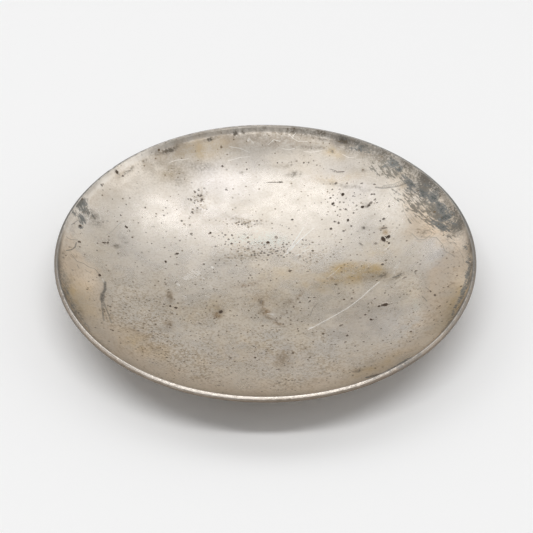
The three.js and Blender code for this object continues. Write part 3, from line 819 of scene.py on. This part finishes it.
class Look:
    """A procedural metal, with short calls that add a node and return what it gives."""

    def __init__(self, name):
        self.material = bpy.data.materials.new(name)
        self.material.use_nodes = True
        self.tree = self.material.node_tree
        self.shader = self.tree.nodes["Principled BSDF"]
        self.layers = {}
        self.place = self.vector("SCALE", self.node("TexCoord").outputs["Object"], scale=1 / MM)

    def node(self, kind, **settings):
        node = self.tree.nodes.new("ShaderNode" + kind)
        for name, value in settings.items():
            setattr(node, name, value)
        return node

    def give(self, socket, value):
        if isinstance(value, bpy.types.NodeSocket):
            self.tree.links.new(value, socket)
        elif isinstance(value, tuple) and socket.type == "RGBA":
            socket.default_value = (*value, 1)
        else:
            socket.default_value = value

    def surface(self, name, value):
        self.give(self.shader.inputs[name], value)

    def vector(self, operation, a, b=None, scale=None):
        node = self.node("VectorMath", operation=operation)
        self.give(node.inputs[0], a)
        if b is not None:
            self.give(node.inputs[1], b)
        if scale is not None:
            self.give(node.inputs["Scale"], scale)
        return node.outputs["Vector"]

    def math(self, operation, a, b=0.0, c=0.0):
        node = self.node("Math", operation=operation)
        for socket, value in zip(node.inputs, (a, b, c)):
            self.give(socket, value)
        return node.outputs[0]

    def times(self, a, b):
        return self.math("MULTIPLY", a, b)

    def minus(self, a, b):
        return self.math("SUBTRACT", a, b)

    def plus(self, a, b, c=1.0):
        """a + b * c"""
        return self.math("MULTIPLY_ADD", b, c, a)

    def total(self, first, *parts):
        """The first value plus each part, given as a value and its factor."""
        for value, factor in parts:
            first = self.plus(first, value, factor)
        return first

    def most(self, first, *others):
        """The largest of several values."""
        for other in others:
            first = self.math("MAXIMUM", first, other)
        return first

    def least(self, a, b):
        return self.math("MINIMUM", a, b)

    def ramp(self, value, low, high, least=0.0, most=1.0):
        """A smooth climb from least to most while the value goes from low to high."""
        node = self.node("MapRange", interpolation_type="SMOOTHSTEP")
        for socket, number in zip(node.inputs, (value, low, high, least, most)):
            self.give(socket, number)
        return node.outputs[0]

    def layer(self, name, output="Fac"):
        """A painted layer of the mesh."""
        if name not in self.layers:
            self.layers[name] = self.node("Attribute", attribute_name=name)
        return self.layers[name].outputs[output]

    def moved(self, location, turn, stretch):
        """Places in millimetres, longer along turn by stretch."""
        node = self.node("Mapping", vector_type="TEXTURE")
        self.give(node.inputs["Vector"], self.place)
        self.give(node.inputs["Location"], location)
        self.give(node.inputs["Rotation"], (0, 0, math.radians(turn)))
        self.give(node.inputs["Scale"], stretch)
        return node.outputs[0]

    def noise(self, size, detail=3.0, shift=0.0, roughness=0.55, stretch=(1, 1, 1), turn=0.0):
        """Noise from 0 to 1 with lumps of about size millimetres, longer along turn by stretch."""
        node = self.node("TexNoise")
        self.give(node.inputs["Vector"], self.moved((shift, 1.7 * shift, 0.6 * shift), turn, stretch))
        self.give(node.inputs["Scale"], 1 / size)
        self.give(node.inputs["Detail"], detail)
        self.give(node.inputs["Roughness"], roughness)
        return node.outputs["Fac"]

    def cells(self, size, shift=0.0, flat=False):
        """Distance from the middle of random cells, in cell sizes, and two random numbers per cell.
        Flat cells lie on the plan and stand upright."""
        node = self.node("TexVoronoi", voronoi_dimensions="2D" if flat else "3D")
        self.give(node.inputs["Vector"], self.vector("ADD", self.place, (shift, shift, 0)))
        self.give(node.inputs["Scale"], 1 / size)
        split = self.node("SeparateColor")
        self.give(split.inputs[0], node.outputs["Color"])
        return node.outputs["Distance"], split.outputs[0], split.outputs[1]

    def cracks(self, size, shift, turn):
        """Thin lines between random cells that are longer along turn."""
        node = self.node("TexVoronoi", feature="DISTANCE_TO_EDGE")
        self.give(node.inputs["Vector"], self.moved((shift, shift, 0), turn, (2.2, 0.8, 4)))
        self.give(node.inputs["Scale"], 1 / size)
        return self.ramp(node.outputs["Distance"], 0.05, 0.0)

    def marks(self, name, ragged, low=0.7, high=1.3):
        """How strongly each point is covered by the marks of a layer."""
        node = self.node("SeparateXYZ")
        self.give(node.inputs[0], self.layer(name, "Vector"))
        u, v, strength = node.outputs
        reach = self.math("SQRT", self.plus(self.times(u, u), v, v))
        reach = self.times(reach, self.ramp(ragged, 0.2, 0.8, 0.7, 1.3))
        return self.times(self.ramp(reach, high, low), strength)

    def mix(self, share, a, b):
        node = self.node("Mix", data_type="RGBA")
        self.give(node.inputs["Factor"], share)
        self.give(node.inputs[6], a)
        self.give(node.inputs[7], b)
        return node.outputs[2]

    def tint(self, share, color, by):
        """Part of a colour multiplied by another."""
        return self.mix(share, color, self.vector("MULTIPLY", color, by))

    def bump(self, height):
        """Relief from a height in millimetres."""
        node = self.node("Bump")
        self.give(node.inputs["Distance"], MM)
        self.give(node.inputs["Height"], height)
        self.surface("Normal", node.outputs[0])


def flecks(look, size, shift, density, biggest, flat=False):
    """Little round specks in random cells; more cells have one where the density is higher."""
    distance, first, second = look.cells(size, shift, flat)
    radius = look.ramp(second, 0, 1, 0.35 * biggest, biggest)
    spot = look.ramp(look.minus(distance, radius), 0.06, -0.06)
    return look.times(spot, look.ramp(look.minus(density, first), -0.05, 0.05))


def hairlines(look, turn, shift, width=0.16):
    """Fine straight wiping marks in one direction, in loose patches."""
    line = look.noise(1, 1.5, shift, stretch=(26, 2 * width, 4), turn=turn)
    return look.ramp(line, 0.62, 0.75)


# The layers of the dish's metal, from the broadest to the finest. Each takes the colour so far.

def bare_silver(look):
    """The metal itself, the thin veil of dirt that dulls it, the greyer band along the back wall, and a
    cooler tint that is a painted highlight over the bright reflections.
    """
    broad, mottle, warm, fine = look.layer("broad"), look.layer("mottle"), look.layer("warm"), look.fine
    color = look.mix(look.ramp(broad, 0.2, 0.8), *BARE)
    veil = look.total(mottle, (fine, 0.9), (look.times(look.layer("fleck"), 0.16), 1))
    veil = look.ramp(veil, 0.32, 0.85, 0.12, 0.42)
    color = look.mix(veil, color, VEIL)
    color = look.mix(look.ramp(look.grain, 0.45, 0.75, 0, 0.28), color, GRIME)
    worn = look.ramp(look.plus(mottle, fine), 0.2, 0.8, 0.5, 0.95)
    # A greyer, duller band along the back wall near the rim.
    color = look.mix(look.times(look.layer("dull"), worn), color, BACK_BAND_GREY)
    color = look.tint(warm, color, WARM_TINT)
    # A cooler, whiter tint; over the bright reflections it is a painted highlight tint.
    color = look.tint(look.layer("cool_and_highlight"), color, COOL_TINT)
    freckle = look.ramp(look.noise(2.4, 5, 23, 0.7), 0.54, 0.68)
    color = look.mix(look.times(look.times(freckle, warm), 0.42), color, FRECKLE)
    return look.mix(look.times(look.layer("lip"), 0.8), color, look.mix(look.grain, *LIP_METAL)), veil


def tan_patina(look, color):
    """The tan film with its browner grooves and cracks, and the yellow stains."""
    layer, mottle, fine = look.layer("film"), look.layer("mottle"), look.fine
    uneven = look.minus(mottle, 0.5)
    film = look.total(layer, (uneven, 0.35), (fine, 0.4))
    film = look.times(look.ramp(film, -0.05, 0.95), look.ramp(layer, 0, 0.15))
    color = look.mix(film, color, look.mix(look.layer("broad"), *TAN))
    brown = look.times(film, look.ramp(look.plus(look.grooves, uneven, 0.3), 0.52, 0.68))
    color = look.mix(look.times(brown, 0.55), color, GROOVE_BROWN)
    crack = look.times(look.times(look.cracks(3.6, 20, -30), film), look.ramp(mottle, 0.45, 0.75))
    color = look.mix(look.times(crack, 0.6), color, CRACK)
    stain = look.ramp(look.plus(mottle, fine, 1.2), 0.2, 0.8, 0.5, 1.15)
    return look.mix(look.times(look.layer("stain"), stain), color, STAIN), film


def underside(look, color):
    """The outside of the dish, dark and scuffed."""
    under = look.mix(look.ramp(look.plus(look.layer("broad"), look.fine, 0.8), 0.3, 0.8), *UNDER)
    scuffs = look.most(hairlines(look, 12, 21, 0.3), hairlines(look, -64, 27, 0.3))
    under = look.mix(look.times(scuffs, 0.5), under, SCUFF)
    return look.mix(look.times(look.minus(1, look.layer("side")), 0.9), color, under)


def dark_tarnish(look, color):
    """The grey haze, the streaks, the blue-grey cores and the dark line along the rim's root."""
    fine, ragged, blue, root = look.fine, look.ragged, look.layer("blue"), look.layer("root")
    haze = look.total(look.layer("mottle"), (fine, 1.6), (look.minus(ragged, 0.5), 0.9))
    haze = look.times(look.layer("haze"), look.ramp(haze, 0.2, 0.7, 0.5, 1.15))
    color = look.mix(haze, color, HAZE)
    streak = look.ramp(look.plus(look.grooves, look.layer("streaks"), 0.22), 0.62, 0.75)
    streak = look.times(streak, look.ramp(look.layer("streaks"), 0.05, 0.4))
    color = look.mix(look.times(streak, 0.8), color, STREAK)
    groove = look.minus(look.grooves, 0.5)
    core = look.total(blue, (groove, 1.6), (fine, 0.9))
    core = look.times(look.ramp(core, 0.15, 0.6), look.ramp(blue, 0.05, 0.3))
    deep = look.ramp(look.total(blue, (groove, 1.8), (fine, 0.9)), 0.5, 1.25)
    color = look.mix(look.times(core, 0.9), color, look.mix(deep, *BLUE_GREY))
    tarnish = look.most(core, look.times(haze, 0.8), look.times(streak, 0.7))
    smear = look.times(look.layer("brown"), look.ramp(look.plus(ragged, fine, 0.9), 0.3, 0.6, 0.35, 1.1))
    color = look.mix(look.least(smear, 0.9), color, SMEAR)
    return look.mix(root, color, ROOT), look.most(tarnish, root)


def smudged(look, color):
    """Dark smudges with ragged edges."""
    smudge = look.ramp(look.plus(look.ragged, look.fine, 0.6), 0.25, 0.62, 0.3, 1.2)
    smudge = look.times(look.layer("smudge"), smudge)
    return look.mix(look.least(smudge, 0.92), color, SMUDGE), smudge


def speckled(look, color):
    """Brown flecks, the lace of fine dirt between them, and the clusters of dark specks."""
    fleck, mottle = look.layer("fleck"), look.layer("mottle")
    small = flecks(look, 1.5, 0, look.times(fleck, 0.85), 0.3)
    large = flecks(look, 3.2, 40, look.times(fleck, 0.5), 0.19)
    specks = look.most(look.times(small, 0.8), large)
    specks = look.times(specks, look.ramp(mottle, 0.1, 0.7, 0.55, 1))
    lace = look.plus(look.ragged, look.plus(look.times(fleck, 0.1), mottle, 0.12))
    lace = look.times(look.times(look.ramp(lace, 0.58, 0.72), fleck), 0.8)
    color = look.mix(lace, color, LACE)
    color = look.mix(specks, color, FLECK)
    dots = flecks(look, 1.45, 63, look.layer("specks"), 0.4, flat=True)
    return look.mix(look.times(dots, 0.85), color, SPECK), specks, dots


def wiped(look, color):
    """Hairlines from wiping, in three directions."""
    hair = look.most(hairlines(look, 24, 3), hairlines(look, -37, 9), hairlines(look, 81, 15))
    hair = look.times(hair, look.ramp(look.layer("broad"), 0.4, 0.75))
    return look.mix(look.times(hair, 0.25), color, HAIRLINE)


def aged_silver():
    """The dish's metal, with every layer of its patina, its painted highlights and shade, its pits and
    its scratches.
    """
    look = Look("aged silver")
    look.grain = look.noise(0.8, 4, 8, 0.6)
    look.fine = look.minus(look.grain, 0.5)
    look.ragged = ragged = look.noise(1.1, 3, 12)
    look.grooves = look.noise(1.25, 3, 31, 0.6, stretch=(2.6, 0.64, 1), turn=-58)
    color, veil = bare_silver(look)
    color, film = tan_patina(look, color)
    color, tarnish = dark_tarnish(look, underside(look, color))
    color, smudge = smudged(look, color)
    color, specks, dots = speckled(look, color)
    color = wiped(look, color)
    lines = look.marks("dark_lines", ragged, 0.5, 1.4)
    color = look.mix(look.times(lines, look.ramp(ragged, 0.3, 0.6, 0.6, 1)), color, DARK_LINE)
    pits = look.marks("pits", ragged, 0.75, 1.35)
    color = look.mix(pits, color, PIT)
    pale = look.marks("pale_lines", ragged, 0.4, 1.4)
    color = look.mix(look.least(look.times(pale, 1.2), 1), color, PALE_LINE)
    # The base colour is scaled by the tone layer, which holds the metal's own tone and painted highlights
    # and shade.
    tone_and_light_ramp = look.ramp(look.layer("tone_and_light"), 0, 1, 0.6, 1.4)
    look.surface("Base Color", look.vector("SCALE", color, scale=tone_and_light_ramp))

    dark = look.most(pits, smudge)
    dull = look.most(
        look.times(film, 0.34), look.times(tarnish, 0.35), look.times(veil, 0.5),
        look.times(look.most(dark, pale), 0.6), look.times(look.layer("lip"), 0.6),
        look.times(look.most(pits, look.times(dots, 0.6)), 0.9))
    look.surface("Metallic", look.minus(1, dull))
    rough = look.total(
        look.ramp(look.layer("mottle"), 0.1, 0.9, 0.24, 0.33), (film, 0.08), (tarnish, 0.12),
        (look.layer("dull"), 0.12), (dark, 0.25), (pits, 0.3), (look.minus(1, look.layer("side")), 0.10))
    look.surface("Roughness", look.least(rough, 0.85))
    look.bump(look.total(look.times(look.grain, 0.003), (ragged, 0.005), (pits, -0.11), (lines, -0.03),
                         (pale, -0.02), (specks, -0.003)))
    return look.material


def rim_silver():
    """The rim wire's metal: lighter along the crest from wear and a painted highlight, dark in the root,
    darker on the outside from tarnish and painted shade, and on the back half painted shade on top and
    painted light on the inner face.
    """
    look = Look("worn rim silver")
    climb, wear_and_highlight, back = look.layer("climb"), look.layer("wear_and_highlight"), look.layer("back")
    mottle = look.noise(3.2, 4, 5, 0.6)
    spots = look.noise(1.0, 4, 9, 0.62)
    streak = look.noise(0.6, 3, 13, 0.6, stretch=(9, 0.7, 0.7))
    both = look.total(mottle, (look.minus(spots, 0.5), 0.8), (look.minus(streak, 0.5), 0.5))
    worn = look.ramp(look.total(climb, (both, 0.4), (wear_and_highlight, 0.22)), 0.94, 1.16)
    outer_flank = look.ramp(look.total(climb, (both, 0.35), (wear_and_highlight, 0.2)), 0.92, 0.68)
    root = look.ramp(look.plus(climb, wear_and_highlight, -0.06), 0.95, 1.02)
    line = look.ramp(look.math("ABSOLUTE", look.minus(climb, 0.86)), 0.05, 0.01)
    line = look.times(line, look.ramp(wear_and_highlight, 0.2, 0.7, 0.7, 0))
    # Lighter along the crest and darker down the flanks: partly wear, partly painted highlight and
    # painted shade.
    color = look.mix(worn, *RIM_METAL)
    color = look.mix(look.ramp(both, 0.58, 0.85, 0, 0.5), color, RIM_BROWN)
    # Painted shade on the wire's outer flank, over its tarnish.
    color = look.mix(look.times(outer_flank, 0.85), color, RIM_TARNISH_AND_SHADE)
    color = look.mix(look.times(root, 0.8), color, RIM_ROOT)
    color = look.mix(look.times(line, look.ramp(both, 0.3, 0.6)), color, RIM_LINE)
    # Painted shade over the top of the rim's back half and painted light on its inner face.
    rear = look.ramp(look.plus(climb, both, 0.16), 1.02, 1.14)
    color = look.mix(back, color, look.mix(rear, REAR_PAINTED_SHADE, look.mix(both, *REAR_PAINTED_LIGHT)))
    blue = look.times(look.layer("blue"), look.ramp(both, 0.3, 0.65))
    color = look.mix(look.times(blue, 0.8), color, RIM_BLUE)
    look.surface("Base Color", color)
    look.surface("Metallic", look.minus(look.ramp(blue, 0, 1, 0.9, 0.6), look.times(back, 0.4)))
    look.surface("Roughness", look.plus(look.ramp(spots, 0.3, 0.7, 0.32, 0.48), outer_flank, 0.12))
    look.bump(look.total(look.times(spots, 0.025), (mottle, 0.08), (streak, 0.03)))
    return look.material


def foot_silver():
    """The foot ring's metal: darker, with spots of tarnish."""
    look = Look("foot silver")
    mottle = look.noise(2.6, 5, 5, 0.62)
    spots = look.noise(0.9, 4, 9, 0.6)
    color = look.mix(look.ramp(mottle, 0.35, 0.7), *FOOT_METAL)
    color = look.mix(look.ramp(spots, 0.55, 0.75, 0, 0.7), color, FOOT_SPOT)
    look.surface("Base Color", color)
    look.surface("Metallic", 0.9)
    look.surface("Roughness", look.ramp(mottle, 0.3, 0.7, 0.36, 0.5))
    look.bump(look.times(spots, 0.02))
    return look.material


def dress(piece, node, material):
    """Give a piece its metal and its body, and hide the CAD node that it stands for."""
    piece.data.materials.append(material)
    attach(piece, "root")
    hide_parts(node)


def floor():
    """The white table under the dish."""
    mesh = bpy.data.meshes.new("floor")
    size = FLOOR_REACH
    corners = [(-size, -size, 0), (size, -size, 0), (size, size, 0), (-size, size, 0)]
    mesh.from_pydata(corners, [], [(0, 1, 2, 3)])
    material = bpy.data.materials.new("white table")
    material.use_nodes = True
    shader = material.node_tree.nodes["Principled BSDF"]
    shader.inputs["Base Color"].default_value = (0.94, 0.94, 0.94, 1)
    shader.inputs["Roughness"].default_value = 0.8
    mesh.materials.append(material)
    place("floor", mesh)


def soft_light(name, tilt, side, width, depth, radiance):
    """An area light turned towards the dish, tilt degrees behind overhead and side degrees
    to the right, with the brightness that its reflection shows."""
    light = bpy.data.lights.new(name, "AREA")
    light.shape = "RECTANGLE"
    light.size, light.size_y = width, depth
    light.energy = radiance * math.pi * width * depth
    turn = Euler((-math.radians(tilt), 0, 0)).to_matrix() @ Euler((0, math.radians(side), 0)).to_matrix()
    lamp = place(name, light)
    lamp.location = turn @ Vector((0, 0, LIGHT_DISTANCE))
    lamp.rotation_euler = turn.to_euler()


def room(strength):
    """A plain white room."""
    world = bpy.data.worlds.new("room")
    bpy.context.scene.world = world
    world.use_nodes = True
    background = world.node_tree.nodes["Background"]
    background.inputs["Color"].default_value = (1, 1, 1, 1)
    background.inputs["Strength"].default_value = strength


def camera():
    """The camera at the photograph's viewing angle, moved a little across its own view."""
    data = bpy.data.cameras.new("camera")
    eye = place("camera", data)
    e = math.radians(CAMERA_ELEVATION)
    back = np.array([0, -math.cos(e), math.sin(e)])
    up = np.array([0, math.sin(e), math.cos(e)])
    right = np.array([1, 0, 0])
    aim = np.array([0, 0, CAMERA_AIM])
    eye.location = aim + back * CAMERA_DISTANCE + right * CAMERA_RIGHT + up * CAMERA_UP
    eye.rotation_euler = (math.pi / 2 - e, 0, 0)
    data.sensor_width = SENSOR
    data.lens = LENS
    bpy.context.scene.camera = eye


dress(dish(), "bowl_shell", aged_silver())
dress(rim(), "rim_wire", rim_silver())
dress(foot(), "foot_ring", foot_silver())

floor()
for light_name, numbers in LIGHTS.items():
    soft_light(light_name, *numbers)
room(ROOM_LIGHT)
camera()
bpy.context.scene.view_settings.view_transform = "Standard"
